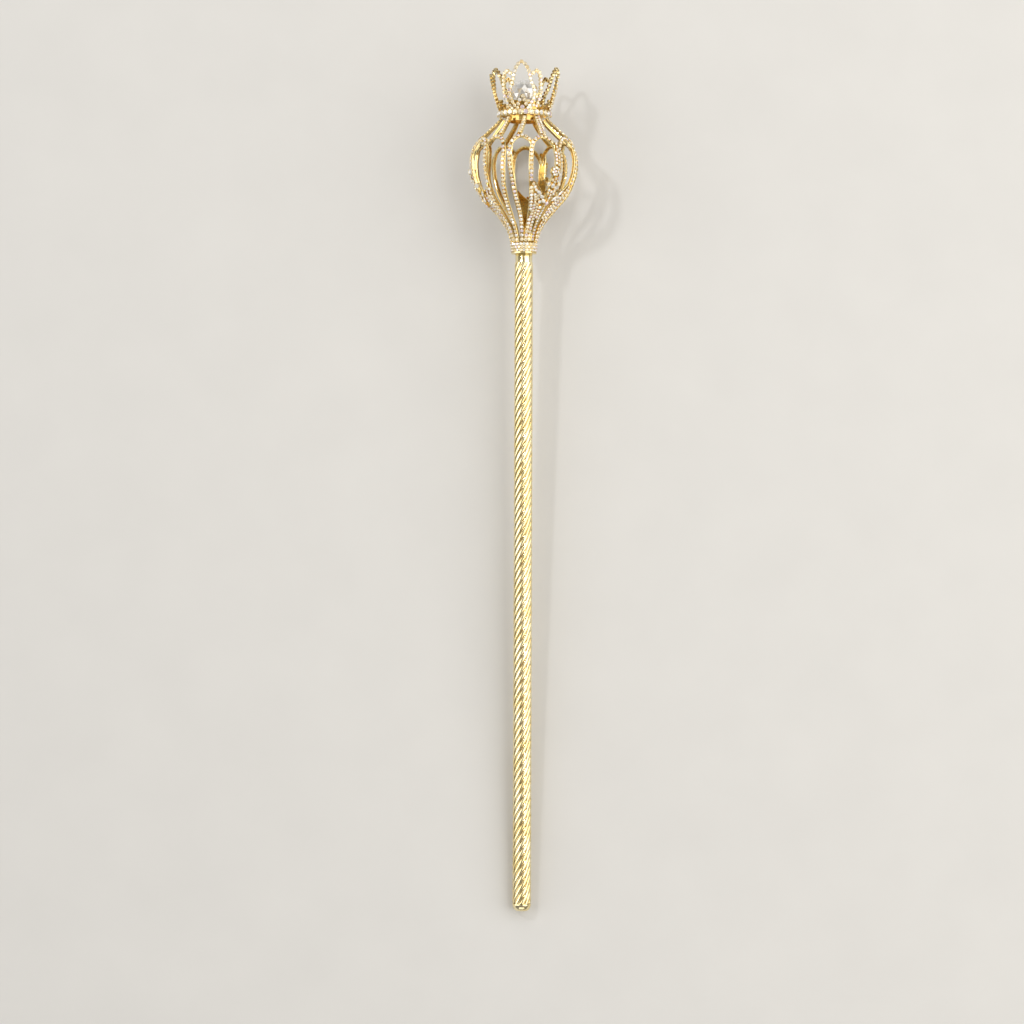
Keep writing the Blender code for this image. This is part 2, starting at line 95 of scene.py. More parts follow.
CROWN = (CROWN_START, CROWN_LENGTH, CROWN_BASE_RADIUS, CROWN_FLARE, CROWN_OUTLINE)

# Ribs of one head panel: angle from its middle, share of the length, share of the width
SIDE_RIB = (
    (34.0, 0.0, 0.75), (29.0, 0.082, 0.75), (27.2, 0.156, 0.83), (28.0, 0.23, 0.88),
    (29.5, 0.304, 0.92), (31.0, 0.386, 1.0), (32.0, 0.467, 1.0), (32.6, 0.556, 1.0),
    (32.6, 0.645, 1.0), (31.8, 0.72, 1.0), (29.5, 0.773, 1.0),
)
BORDER_RIB = (
    (0.35, 0.0, 0.78), (3.5, 0.082, 0.78), (5.6, 0.156, 0.83), (5.4, 0.23, 0.87),
    (4.4, 0.304, 0.91), (3.3, 0.378, 1.0), (2.3, 0.46, 1.0), (1.4, 0.542, 1.0),
    (0.6, 0.623, 1.0), (0.2, 0.69, 1.0), (1.1, 0.742, 1.0),
)
OUTER_ARCH = (
    (30.6, 0.746, 1.0), (33.5, 0.783, 1.0), (39.0, 0.815, 1.0), (45.0, 0.826, 1.0),
    (50.5, 0.809, 1.0), (54.3, 0.773, 1.0), (56.3, 0.726, 1.0),
)
INNER_ARCH = (
    (31.0, 0.752, 1.0), (27.0, 0.791, 1.0), (20.5, 0.819, 1.0), (13.0, 0.812, 1.0),
    (7.0, 0.776, 1.0), (2.5, 0.728, 1.0), (0.0, 0.668, 1.0),
)
NECK_RIB = ((39.0, 1.0, 1.0), (43.5, 0.92, 1.0), (48.0, 0.823, 1.0))
MAIN_NECK_RIB = ((-8.0, 1.0, 1.0), (-12.0, 0.92, 1.0), (-16.8, 0.82, 1.0))
SPRAY = (
    (-2.6, 0.767, 0.55), (-2.4, 0.712, 0.72), (-1.2, 0.653, 0.92), (-0.6, 0.593, 1.0),
    (-1.0, 0.527, 1.0), (-2.2, 0.467, 1.22), (-3.2, 0.408, 1.05), (-3.0, 0.356, 0.8),
    (-2.0, 0.297, 0.62),
)
LEAF = (
    (29.6, 0.438, 0.35), (25.6, 0.393, 0.49), (20.8, 0.343, 0.78), (17.8, 0.289, 1.0),
    (17.0, 0.223, 0.8), (17.2, 0.141, 0.55), (18.4, 0.067, 0.46), (20.0, 0.006, 0.45),
)
RAIL = ((-1.5, 0.319, 1.0), (-1.5, 0.2, 0.94), (-0.5, 0.096, 0.87), (0.0, 0.006, 0.87))

# Ribs of one crown group: angle from its middle, share of the crown's length
TALL_PETAL = (
    (15.0, 0.13), (20.5, 0.232), (24.6, 0.366), (22.3, 0.489), (17.0, 0.592),
    (13.9, 0.708), (11.4, 0.81), (6.2, 0.908),
)
FLANK_PETAL = (
    (13.2, 0.683), (19.5, 0.754), (26.8, 0.803), (31.6, 0.732), (34.2, 0.627),
    (36.2, 0.486), (36.8, 0.38), (35.2, 0.275), (33.0, 0.176),
)
LATTICE = ((36.0, 0.42), (27.0, 0.3), (13.4, 0.14), (6.0, 0.25), (0.0, 0.36))
PLATE = (
    (-37.0, 0.55), (-31.0, 0.85), (-16.0, 1.0), (0.0, 0.9), (16.0, 1.0), (31.0, 0.85),
    (37.0, 0.55),
)

# Sections of a bar: side, inset from it, height over the face, all in mm, and 1 in a recess that
# takes painted shade
RIB_SECTION = (
    (-1, 0.0, -0.14, 0), (-1, 0.1, 0.0, 0), (-1, 0.34, 0.0, 0), (-1, 0.46, -0.24, 1),
    (1, 0.46, -0.24, 1), (1, 0.34, 0.0, 0), (1, 0.1, 0.0, 0), (1, 0.0, -0.14, 0),
)
GROOVED_FACE = RIB_SECTION + ((1, 0.0, -0.4, 0), (1, 0.26, -0.58, 1))
GROOVED_BACK = ((1, 0.26, 0.58, 1), (1, 0.0, 0.4, 0)) + (
    (1, 0.0, 0.2, 0), (1, 0.16, 0.0, 0), (1, 0.42, 0.0, 0), (1, 0.62, 0.45, 1),
    (-1, 0.62, 0.45, 1), (-1, 0.42, 0.0, 0), (-1, 0.16, 0.0, 0), (-1, 0.0, 0.2, 0),
) + ((-1, 0.0, 0.4, 0), (-1, 0.26, 0.58, 1), (-1, 0.26, 0.9, 1), (-1, 0.0, 1.08, 0))
PETAL_BACK = (
    (1, 0.0, 0.1, 0), (1, 0.12, 0.0, 0), (-1, 0.12, 0.0, 0), (-1, 0.0, 0.1, 0),
)
PLATE_BACK = (
    (1, 0.0, 0.1, 0), (1, 0.16, 0.0, 1), (-1, 0.16, 0.0, 1), (-1, 0.0, 0.1, 0),
)
RIB_BACK = (
    (1, 0.0, 0.2, 0), (1, 0.16, 0.0, 0), (1, 0.42, 0.0, 0), (1, 0.62, 0.5, 1),
    (-1, 0.62, 0.5, 1), (-1, 0.42, 0.0, 0), (-1, 0.16, 0.0, 0), (-1, 0.0, 0.2, 0),
)


class SceptreSizes(bpy.types.PropertyGroup):
    """Sizes of the visible pieces"""

    rod_radius: FloatProperty(
        name="Rod Radius", description="Radius over the rope strands", default=5.0 * MM,
        min=MM, unit="LENGTH", subtype="DISTANCE")
    strand_depth: FloatProperty(
        name="Strand Depth", description="Depth of the grooves between the strands",
        default=0.5 * MM, min=0.0, unit="LENGTH", subtype="DISTANCE")
    strand_lead: FloatProperty(
        name="Strand Lead", description="Length of rod in which a strand goes round once",
        default=45.5 * MM, min=MM, unit="LENGTH", subtype="DISTANCE")
    strand_count: IntProperty(
        name="Strands", description="Number of rope strands round the rod", default=10, min=3)
    stone_diameter: FloatProperty(
        name="Stone Diameter", description="Diameter of the stones on the ribs",
        default=2.0 * MM, min=0.2 * MM, unit="LENGTH", subtype="DISTANCE")
    stone_pitch: FloatProperty(
        name="Stone Pitch", description="Spacing of the stones along a rib",
        default=2.25 * MM, min=0.3 * MM, unit="LENGTH", subtype="DISTANCE")
    paving_diameter: FloatProperty(
        name="Paving Diameter", description="Diameter of the stones that pave leaves and crown",
        default=1.75 * MM, min=0.2 * MM, unit="LENGTH", subtype="DISTANCE")
    petal_diameter: FloatProperty(
        name="Petal Stone Diameter", description="Diameter of the stones on the petals",
        default=2.0 * MM, min=0.2 * MM, unit="LENGTH", subtype="DISTANCE")
    rib_width: FloatProperty(
        name="Rib Width", description="Width of the ribs at the widest part of the head",
        default=2.4 * MM, min=0.5 * MM, unit="LENGTH", subtype="DISTANCE")
    setting_depth: FloatProperty(
        name="Setting Depth", description="Height of the stones over the metal under them",
        default=0.8 * MM, min=0.1 * MM, unit="LENGTH", subtype="DISTANCE")
    ball_radius: FloatProperty(
        name="Ball Radius", description="Radius of the crystal ball", default=8.0 * MM,
        min=MM, unit="LENGTH", subtype="DISTANCE")


class SceptreColours(bpy.types.PropertyGroup):
    """Colours of the finishes, as sRGB values"""

    gold: FloatVectorProperty(
        name="Gold", description="Pale gold plate on the polished faces",
        default=(0.985, 0.937, 0.77), size=3, min=0.0, max=1.0, subtype="COLOR_GAMMA")
    deep_gold: FloatVectorProperty(
        name="Deep Gold", description="Thicker, yellower gold plate in patches",
        default=(0.958, 0.875, 0.63), size=3, min=0.0, max=1.0, subtype="COLOR_GAMMA")
    # Painted shade: the dark warm gold painted into grooves, holes and inner faces
    painted_recess_shade: FloatVectorProperty(
        name="Recess", description="Warm gold in grooves and on inner faces",
        default=(0.84, 0.68, 0.36), size=3, min=0.0, max=1.0, subtype="COLOR_GAMMA")
    stone: FloatVectorProperty(
        name="Stone", description="Clear stone over silver foil",
        default=(0.996, 0.973, 0.925), size=3, min=0.0, max=1.0, subtype="COLOR_GAMMA")
    floor: FloatVectorProperty(
        name="Floor", description="Pale floor of the stage",
        default=(0.85, 0.845, 0.835), size=3, min=0.0, max=1.0, subtype="COLOR_GAMMA")


# Colours
def linear(colour):
    """Turns an sRGB hex string or three sRGB values into a linear colour with alpha."""
    if isinstance(colour, str):
        colour = [int(colour[place:place + 2], 16) / 255 for place in (1, 3, 5)]
    values = [part / 12.92 if part <= 0.04045 else ((part + 0.055) / 1.055) ** 2.4
              for part in colour]
    return (values[0], values[1], values[2], 1.0)


def add_node(tree, kind, inputs=None, **settings):
    """Adds a node with its settings, and sets or links each named input."""
    node = tree.nodes.new(kind)
    for name, value in settings.items():
        setattr(node, name, value)
    for name, value in (inputs or {}).items():
        if isinstance(value, bpy.types.NodeSocket):
            tree.links.new(value, node.inputs[name])
        else:
            node.inputs[name].default_value = value
    return node


def new_material(name):
    """An empty node material, its tree and its shader."""
    material = bpy.data.materials.new(name)
    material.use_nodes = True
    tree = material.node_tree
    return material, tree, tree.nodes["Principled BSDF"]


def gold_plate(name, roughness, grain, bump):
    """Gold plate over cast or drawn metal, polished, with painted shade, darker and warmer, in its
    recesses.
    """
    if name in bpy.data.materials:
        return bpy.data.materials[name]
    colours = bpy.context.scene.sceptre_colours
    material, tree, shader = new_material(name)
    place = add_node(tree, "ShaderNodeTexCoord").outputs["Object"]
    # Plate thickness drifts over about 7 mm
    drift = add_node(tree, "ShaderNodeTexNoise",
                     {"Vector": place, "Scale": 140.0, "Detail": 2.0})
    drift_share = add_node(tree, "ShaderNodeMapRange",
                           {"Value": drift.outputs["Fac"], "From Min": 0.35, "From Max": 0.65})
    plate = add_node(tree, "ShaderNodeMix",
                     {"Factor": drift_share.outputs["Result"],
                      "A": linear(colours.gold), "B": linear(colours.deep_gold)},
                     data_type="RGBA")
    # Painted shade: marked points take the recess colour, standing in for shadow and warm
    # interreflection
    painted_recess_shade = add_node(tree, "ShaderNodeAttribute", attribute_name="painted_recess_shade")
    tone = add_node(tree, "ShaderNodeMix",
                    {"Factor": painted_recess_shade.outputs["Fac"], "A": plate.outputs[2],
                     "B": linear(colours.painted_recess_shade)}, data_type="RGBA")
    tree.links.new(tone.outputs[2], shader.inputs["Base Color"])
    # Polishing marks and casting skin, with a grain given in mm
    marks = add_node(tree, "ShaderNodeTexNoise",
                     {"Vector": place, "Scale": 1.0 / (grain * MM), "Detail": 3.0,
                      "Roughness": 0.6})
    gloss = add_node(tree, "ShaderNodeMapRange",
                     {"Value": marks.outputs["Fac"], "From Min": 0.3, "From Max": 0.7,
                      "To Min": roughness - 0.05, "To Max": roughness + 0.09})
    tree.links.new(gloss.outputs["Result"], shader.inputs["Roughness"])
    relief = add_node(tree, "ShaderNodeBump",
                      {"Strength": bump, "Distance": 0.05 * MM, "Height": marks.outputs["Fac"]})
    tree.links.new(relief.outputs["Normal"], shader.inputs["Normal"])
    shader.inputs["Metallic"].default_value = 1.0
    return material


def foil_backed_stone():
    """Machine-cut glass rhinestone over silver foil: bright, with painted reflections that darken a
    few facets, and some stones tinted.
    """
    name = "foil_backed_glass_stone"
    if name in bpy.data.materials:
        return bpy.data.materials[name]
    colours = bpy.context.scene.sceptre_colours
    material, tree, shader = new_material(name)
    # Painted reflections: each facet gets a random tone from grey-brown through the stone colour to
    # white
    facet = add_node(tree, "ShaderNodeAttribute", attribute_name="painted_facet_glint")
    shade = add_node(tree, "ShaderNodeValToRGB", {"Fac": facet.outputs["Fac"]})
    ramp = shade.color_ramp
    ramp.elements[0].position = 0.0
    ramp.elements[0].color = linear("#A2978A")
    ramp.elements[1].position = 1.0
    ramp.elements[1].color = linear("#FFFFFF")
    middle = ramp.elements.new(0.22)
    middle.color = linear(colours.stone)
    stone = add_node(tree, "ShaderNodeAttribute", attribute_name="stone_tone")
    tint = add_node(tree, "ShaderNodeValToRGB", {"Fac": stone.outputs["Fac"]})
    tones = tint.color_ramp
    tones.interpolation = "CONSTANT"
    tones.elements[0].position = 0.0
    tones.elements[0].color = linear("#FFFFFF")
    tones.elements[1].position = 0.3
    tones.elements[1].color = linear("#FFF3D8")
    for position, colour in ((0.8, "#F3E4EE"), (0.9, "#ECDFEE"), (0.96, "#FFE7B8")):
        extra = tones.elements.new(position)
        extra.color = linear(colour)
    colour = add_node(tree, "ShaderNodeMix",
                      {"Factor": 1.0, "A": shade.outputs["Color"], "B": tint.outputs["Color"]},
                      data_type="RGBA", blend_type="MULTIPLY")
    tree.links.new(colour.outputs[2], shader.inputs["Base Color"])
    # Facet edges wear over about half a millimetre
    place = add_node(tree, "ShaderNodeTexCoord").outputs["Object"]
    wear = add_node(tree, "ShaderNodeTexNoise",
                    {"Vector": place, "Scale": 2000.0, "Detail": 1.0})
    gloss = add_node(tree, "ShaderNodeMapRange",
                     {"Value": wear.outputs["Fac"], "From Min": 0.4, "From Max": 0.7,
                      "To Min": 0.04, "To Max": 0.14})
    tree.links.new(gloss.outputs["Result"], shader.inputs["Roughness"])
    shader.inputs["Metallic"].default_value = 0.32
    shader.inputs["Coat Weight"].default_value = 1.0
    shader.inputs["Coat Roughness"].default_value = 0.03
    return material


def cut_crystal():
    """Lead crystal, cut and polished: clear, with sharp facets whose bright and grey tones are
    partly painted reflections.
    """
    material, tree, shader = new_material("clear_cut_lead_crystal")
    place = add_node(tree, "ShaderNodeTexCoord").outputs["Object"]
    # Handling marks of about 1 mm dull the polish a little
    haze = add_node(tree, "ShaderNodeTexNoise",
                    {"Vector": place, "Scale": 1000.0, "Detail": 2.0})
    gloss = add_node(tree, "ShaderNodeMapRange",
                     {"Value": haze.outputs["Fac"], "From Min": 0.5, "From Max": 0.75,
                      "To Min": 0.0, "To Max": 0.06})
    tree.links.new(gloss.outputs["Result"], shader.inputs["Roughness"])
    # Painted reflections: each facet's base colour is a random tone from grey to white
    facet = add_node(tree, "ShaderNodeAttribute", attribute_name="painted_facet_glint")
    shade = add_node(tree, "ShaderNodeMix",
                     {"Factor": facet.outputs["Fac"], "A": linear("#C4BCAC"),
                      "B": linear("#FFFFFF")}, data_type="RGBA")
    tree.links.new(shade.outputs[2], shader.inputs["Base Color"])
    shader.inputs["Transmission Weight"].default_value = 0.3
    shader.inputs["Metallic"].default_value = 0.3
    shader.inputs["IOR"].default_value = 1.56
    shader.inputs["Coat Weight"].default_value = 1.0
    shader.inputs["Coat Roughness"].default_value = 0.02
    return material


def floor_plaster():
    """Matt plaster: pale and even, with faint mottling about 40 mm across."""
    colours = bpy.context.scene.sceptre_colours
    material, tree, shader = new_material("matt_pale_plaster")
    place = add_node(tree, "ShaderNodeTexCoord").outputs["Object"]
    mottle = add_node(tree, "ShaderNodeTexNoise",
                      {"Vector": place, "Scale": 25.0, "Detail": 4.0})
    darker = [value * 0.97 for value in colours.floor]
    tone = add_node(tree, "ShaderNodeMix",
                    {"Factor": mottle.outputs["Fac"], "A": linear(darker),
                     "B": linear(colours.floor)}, data_type="RGBA")
    tree.links.new(tone.outputs[2], shader.inputs["Base Color"])
    shader.inputs["Roughness"].default_value = 0.85
    return material


# Lying pose
def lying_matrix():
    """Turns an upright piece onto its back, in the place of the CAD frame."""
    head_rest = HEAD_RADIUS - 0.95 * MM
    cap_rest = CAP_RADIUS - 0.15 * MM
    head_rest_height = HEAD_START + 0.663 * HEAD_LENGTH
    rise = (head_rest - cap_rest) / (head_rest_height - CAP_LENGTH)
    tilt = math.atan(rise)
    collar_low, collar_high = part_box("collar")
    cap_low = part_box("butt_cap")[0]
    butt_face_radius = CAP_RADIUS - 2.4 * MM
    across = (collar_low[0] + collar_high[0]) / 2
    along = cap_low[1] + butt_face_radius * math.sin(tilt)
    up = (cap_rest - CAP_LENGTH * rise) * math.cos(tilt)
    turn = Matrix.Rotation(tilt - math.pi / 2, 4, "X")
    return Matrix.Translation((across, along, up)) @ turn


LYING = lying_matrix()


def finish_piece(item, material, *nodes, slot=None, smooth=35.0):
    """Lays a piece down with its place in its mesh, flat where it rests, and signs it in."""
    deselect_all()
    item.select_set(True)
    bpy.context.view_layer.objects.active = item
    bpy.ops.object.transform_apply(location=True, rotation=True, scale=True)
    item.data.transform(LYING)
    for vertex in item.data.vertices:
        vertex.co.z = max(vertex.co.z, 0.0)
    item.data.materials.clear()
    item.data.materials.append(material)
    if smooth:
        bpy.ops.object.shade_smooth_by_angle(angle=math.radians(smooth))
    else:
        bpy.ops.object.shade_flat()
    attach(item, "root")
    if nodes:
        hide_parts(*nodes)
    return item


# Modelling by hand
def deselect_all():
    """Nothing stays selected, in any object."""
    if bpy.context.mode != "OBJECT":
        bpy.ops.object.mode_set(mode="OBJECT")
    bpy.ops.object.select_all(action="DESELECT")


def select_points(item, test):
    """Leaves the item in edit mode with just the points selected that pass the test."""
    bpy.ops.object.mode_set(mode="EDIT")
    bpy.ops.mesh.select_mode(type="VERT")
    bpy.ops.mesh.select_all(action="DESELECT")
    bpy.ops.object.mode_set(mode="OBJECT")
    for vertex in item.data.vertices:
        vertex.select = test(vertex)
    bpy.ops.object.mode_set(mode="EDIT")


def turned(name, rows, sides, stagger=False):
    """Draws a disc up the axis through rows of radius and height into a closed solid."""
    deselect_all()
    radius, height = rows[0]
    bpy.ops.mesh.primitive_circle_add(
        vertices=sides, radius=radius, fill_type="NGON", location=(0.0, 0.0, height))
    item = bpy.context.object
    item.name = name
    bpy.ops.object.transform_apply(location=True)
    bpy.ops.object.mode_set(mode="EDIT")
    bpy.ops.mesh.select_all(action="SELECT")
    for following, level in rows[1:]:
        bpy.ops.mesh.extrude_region_move(
            TRANSFORM_OT_translate={"value": (0.0, 0.0, level - height)})
        scale = following / radius
        bpy.ops.transform.resize(value=(scale, scale, 1.0), center_override=(0.0, 0.0, level))
        if stagger:
            bpy.ops.transform.rotate(value=math.pi / sides, orient_axis="Z",
                                     center_override=(0.0, 0.0, level))
        radius, height = following, level
    bpy.ops.mesh.select_all(action="SELECT")
    if stagger:
        bpy.ops.mesh.quads_convert_to_tris(quad_method="SHORTEST_DIAGONAL")
    bpy.ops.mesh.normals_make_consistent(inside=False)
    bpy.ops.object.mode_set(mode="OBJECT")
    return item


def copy_of(master, place):
    """A copy of a modelled shape, with its own mesh, at a place."""
    item = master.copy()
    item.data = master.data.copy()
    bpy.context.scene.collection.objects.link(item)
    item.matrix_world = place
    return item


def join_pieces(name, items):
    """Joins pieces into the first one."""
    deselect_all()
    for item in items:
        item.select_set(True)
    bpy.context.view_layer.objects.active = items[0]
    if len(items) > 1:
        bpy.ops.object.join()
    joined = bpy.context.view_layer.objects.active
    bpy.ops.object.transform_apply(location=True, rotation=True, scale=True)
    joined.name = name
    joined.data.name = name
    return joined


def remove(item):
    bpy.data.objects.remove(item, do_unlink=True)


# Surfaces of revolution
def radius_at(form, share):
    """Radius of a form at a share of its length."""
    shares = [row[0] for row in form[4]]
    sizes = [row[1] for row in form[4]]
    samples = np.interp([share - 0.012, share, share + 0.012], shares, sizes)
    return form[2] + form[3] * float(np.mean(samples))


def surface_point(form, angle, share, lift):
    """A point over the form's surface and the normal there."""
    reach = radius_at(form, share + 0.015) - radius_at(form, share - 0.015)
    slope = reach / (0.03 * form[1])
    turn = math.radians(angle)
    outward = Vector((math.sin(turn), -math.cos(turn), 0.0))
    normal = (outward - Vector((0.0, 0.0, slope))).normalized()
    height = form[0] + form[1] * share
    return outward * radius_at(form, share) + Vector((0.0, 0.0, height)) + normal * lift, normal


def smooth_rows(controls, steps):
    """Samples a smooth line through rows of numbers."""
    rows = [np.array(row, dtype=float) for row in controls]
    rows = [2 * rows[0] - rows[1]] + rows + [2 * rows[-1] - rows[-2]]
    samples = []
    for index in range(1, len(rows) - 2):
        before, start, end, after = rows[index - 1:index + 3]
        for step in range(steps):
            part = step / steps
            samples.append(0.5 * (
                2 * start
                + (end - before) * part
                + (2 * before - 5 * start + 4 * end - after) * part ** 2
                + (3 * start - before - 3 * end + after) * part ** 3
            ))
    samples.append(rows[-2])
    return samples


def centre_line(form, rows, turn, lift):
    """Points, normals and directions along rows of angle, share and width."""
    points = []
    normals = []
    for angle, share, width in rows:
        point, normal = surface_point(form, angle + turn, share, lift)
        points.append(point)
        normals.append(normal)
    last = len(rows) - 1
    aheads = []
    for index in range(last + 1):
        step = points[min(index + 1, last)] - points[max(index - 1, 0)]
        aheads.append(step.normalized())
    return points, normals, aheads


class Metalwork:
    """Bars swept along the surface of one form, collected into one mesh."""

    def __init__(self, form, turn):
        self.form = form
        self.turn = turn
        self.points = []
        self.faces = []
        self.painted_recess_shade = []

    def bar(self, rows, lift, thickness, steps=5, face=RIB_SECTION, back=RIB_BACK):
        """Sweeps a section along rows of angle, share and width."""
        samples = smooth_rows(rows, steps)
        points, normals, aheads = centre_line(self.form, samples, self.turn, lift)
        section = [(side, inset * MM, out * MM, painted_shade_flag) for side, inset, out, painted_shade_flag in face]
        section += [(side, inset * MM, out * MM - thickness, painted_shade_flag)
                    for side, inset, out, painted_shade_flag in back]
        count = len(section)
        first = len(self.points)
        for row, point, normal, ahead in zip(samples, points, normals, aheads):
            across = ahead.cross(normal).normalized()
            half = row[2] / 2
            for side, inset, out, painted_shade_flag in section:
                reach = side * max(half - inset, 0.06 * MM)
                self.points.append(point + across * reach + normal * out)
                self.painted_recess_shade.append(float(painted_shade_flag))
        for index in range(len(samples) - 1):
            base = first + index * count
            for corner in range(count):
                following = (corner + 1) % count
                self.faces.append((base + corner, base + following,
                                   base + count + following, base + count + corner))
        self.faces.append(tuple(range(first + count - 1, first - 1, -1)))
        last = len(self.points) - count
        self.faces.append(tuple(range(last, last + count)))

    def rib(self, rows, lift, thickness, steps=5):
        """A bar with a groove along each side, as between two soldered rails."""
        self.bar(rows, lift, thickness, steps, GROOVED_FACE, GROOVED_BACK)

    def piece(self, name):
        """The collected bars as an object, with recesses marked for painted shade in the gold."""
        mesh = bpy.data.meshes.new(name)
        mesh.from_pydata([tuple(point) for point in self.points], [], self.faces)
        mesh.update()
        shape = bmesh.new()
        shape.from_mesh(mesh)
        bmesh.ops.recalc_face_normals(shape, faces=shape.faces)
        shape.to_mesh(mesh)
        shape.free()
        # Painted shade: flagged points get the recess colour in the gold
        mark = mesh.attributes.new("painted_recess_shade", "FLOAT", "POINT")
        mark.data.foreach_set("value", self.painted_recess_shade)
        item = bpy.data.objects.new(name, mesh)
        bpy.context.scene.collection.objects.link(item)
        return item


# Stones and their settings
def stone_shape():
    """One faceted stone of radius 1: table, crown facets, girdle and a blunt back."""
    stone = turned("stone_shape", ((0.55, -0.3), (1.0, -0.06), (1.0, 0.0), (0.58, 0.36)), 8)
    select_points(stone, lambda vertex: vertex.co.z > 0.3)
    bpy.ops.transform.rotate(value=math.pi / 8, orient_axis="Z", center_override=(0, 0, 0))
    bpy.ops.mesh.select_all(action="SELECT")
    bpy.ops.mesh.quads_convert_to_tris(quad_method="SHORTEST_DIAGONAL")
    bpy.ops.object.mode_set(mode="OBJECT")
    return stone


# Settings for a stone of radius 1, as rows of radius and height from the hole in the back
CLOSED_CUP = ((0.94, -0.75), (1.03, -0.3), (1.05, 0.03), (0.94, 0.0))
PANEL_CUP = ((0.5, -1.3), (0.56, -2.04), (0.78, -2.06), (0.82, -0.8), (1.03, -0.3),
             (1.05, 0.03), (0.94, 0.0))
PETAL_CUP = ((0.52, -0.5), (0.56, -1.62), (0.86, -1.64), (1.0, -1.2), (1.04, -0.3),
             (1.06, 0.03), (0.94, 0.0))


def cup_shape(rows):
    """One setting of radius 1: a cup with four claws that lean over the stone."""
    cup = turned("cup_shape", rows, 8)
    # Painted shade: full in the hole at the back of the cup, a little on the outer wall below the
    # rim
    mark = cup.data.attributes.new("painted_recess_shade", "FLOAT", "POINT")
    values = []
    for vertex in cup.data.vertices:
        radius = math.hypot(vertex.co.x, vertex.co.y)
        hole = radius < 0.7
        wall = radius > 0.9 and vertex.co.z < -0.28
        values.append(1.0 if hole else 0.3 if wall else 0.0)
    mark.data.foreach_set("value", values)
    parts = [cup]
    for index in range(4):
        deselect_all()
        turn = math.pi / 4 + math.pi / 2 * index
        bpy.ops.mesh.primitive_cone_add(
            vertices=4, radius1=0.19, radius2=0.11, depth=0.5,
            location=(math.cos(turn), math.sin(turn), 0.06))
        claw = bpy.context.object
        claw.rotation_euler = (0.35 * math.sin(turn), -0.35 * math.cos(turn), 0.0)
        parts.append(claw)
    return join_pieces("cup_shape", parts)


class StoneField:
    """Places for stones on one form, none of them over another."""

    def __init__(self, form, turn, seed):
        self.form = form
        self.turn = turn
        self.spots = []
        self.kept_clear = []
        self.random = np.random.default_rng(seed)

    def add(self, point, across, ahead, normal, diameter, length=None, gap=0.8, tone=None):
        """Adds a stone unless it would cover one that is there."""
        for other, size in self.spots_taken():
            if (point - other).length < gap * (diameter + size) / 2:
                return
        across_size = diameter / 2
        ahead_size = (length or diameter) / 2
        basis = Matrix((across * across_size, ahead * ahead_size, normal * diameter / 2))
        place = basis.transposed().to_4x4()
        place.translation = point
        size = diameter if length is None else length * 0.8
        self.spots.append((place, point, size, self.random.random() if tone is None else tone))

    def spots_taken(self):
        return [spot[1:3] for spot in self.spots] + self.kept_clear

    def keep_clear(self, angle, share, diameter):
        """Keeps later stones out of a round patch."""
        point, _ = surface_point(self.form, angle + self.turn, share, 0.0)
        self.kept_clear.append((point, diameter))

    def at(self, angle, share, diameter, lift, length=None, heading=0.0, gap=0.8, tone=None,
           lean=0.0):
        """Adds one stone at an angle and share, turned by heading and lean degrees."""
        point, normal = surface_point(self.form, angle + self.turn, share, lift)
        higher, _ = surface_point(self.form, angle + self.turn, share + 0.01, lift)
        ahead = (higher - point).normalized()
        normal = Matrix.Rotation(math.radians(lean), 3, ahead) @ normal
        ahead = Matrix.Rotation(math.radians(heading), 3, normal) @ ahead
        across = ahead.cross(normal).normalized()
        self.add(point, across, ahead, normal, diameter, length, gap, tone)

    def along(self, rows, lift, diameter, pitch, offset=0.0, start=0.5, gap=0.8):
        """Adds a row of stones along a line, offset to its side."""
        samples = smooth_rows(rows, 8)
        points, normals, aheads = centre_line(self.form, samples, self.turn, lift)
        lengths = [0.0]
        for before, after in zip(points, points[1:]):
            lengths.append(lengths[-1] + (after - before).length)
        count = max(1, round(lengths[-1] / pitch))
        for index in range(count):
            target = (index + start) * lengths[-1] / count
            angle, share, width = [
                float(np.interp(target, lengths, [row[part] for row in samples]))
                for part in range(3)
            ]
            near = int(np.searchsorted(lengths, target))
            ahead = aheads[min(near, len(aheads) - 1)]
            point, normal = surface_point(self.form, angle + self.turn, share, lift)
            across = ahead.cross(normal).normalized()
            if offset:
                if abs(offset) > width / 2 - 0.38 * diameter:
                    continue
                moved = point + across * offset
                turn = math.degrees(math.atan2(moved.x, -moved.y))
                level = (moved.z - self.form[0]) / self.form[1]
                point, normal = surface_point(self.form, turn, level, lift)
                across = ahead.cross(normal).normalized()
            self.add(point, across, normal.cross(across), normal, diameter, None, gap)

    def pieces(self, name, stone, cup, small_cup=None, small=0.0):
        """The settings and the stones, each joined into one object."""
        places = [spot[0] for spot in self.spots]
        cups = [copy_of(small_cup if spot[2] < small else cup, spot[0]) for spot in self.spots]
        cups = join_pieces(name + "_settings", cups)
        stones = join_pieces(name + "_stones", [copy_of(stone, place) for place in places])
        faces = len(stone.data.polygons)
        # Painted reflections: a random tone for each facet
        facets = self.random.random(len(stones.data.polygons))
        tones = np.repeat([spot[3] for spot in self.spots], faces)
        for label, values in (("painted_facet_glint", facets), ("stone_tone", tones)):
            mark = stones.data.attributes.new(label, "FLOAT", "FACE")
            mark.data.foreach_set("value", np.asarray(values, dtype=np.float32))
        return cups, stones


def sized(rows, width):
    return [(angle, share, factor * width) for angle, share, factor in rows]


def mirrored(rows):
    return [(-angle, share, width) for angle, share, width in rows]


def border_rows(width):
    """The border rib keeps half a millimetre from the edge of its sector."""
    rows = []
    for spread, share, factor in BORDER_RIB:
        reach = (1.0 * MM + factor * width) / 2 / radius_at(HEAD, share)
        rows.append((60.0 - math.degrees(reach) - spread, share, factor * width))
    return rows


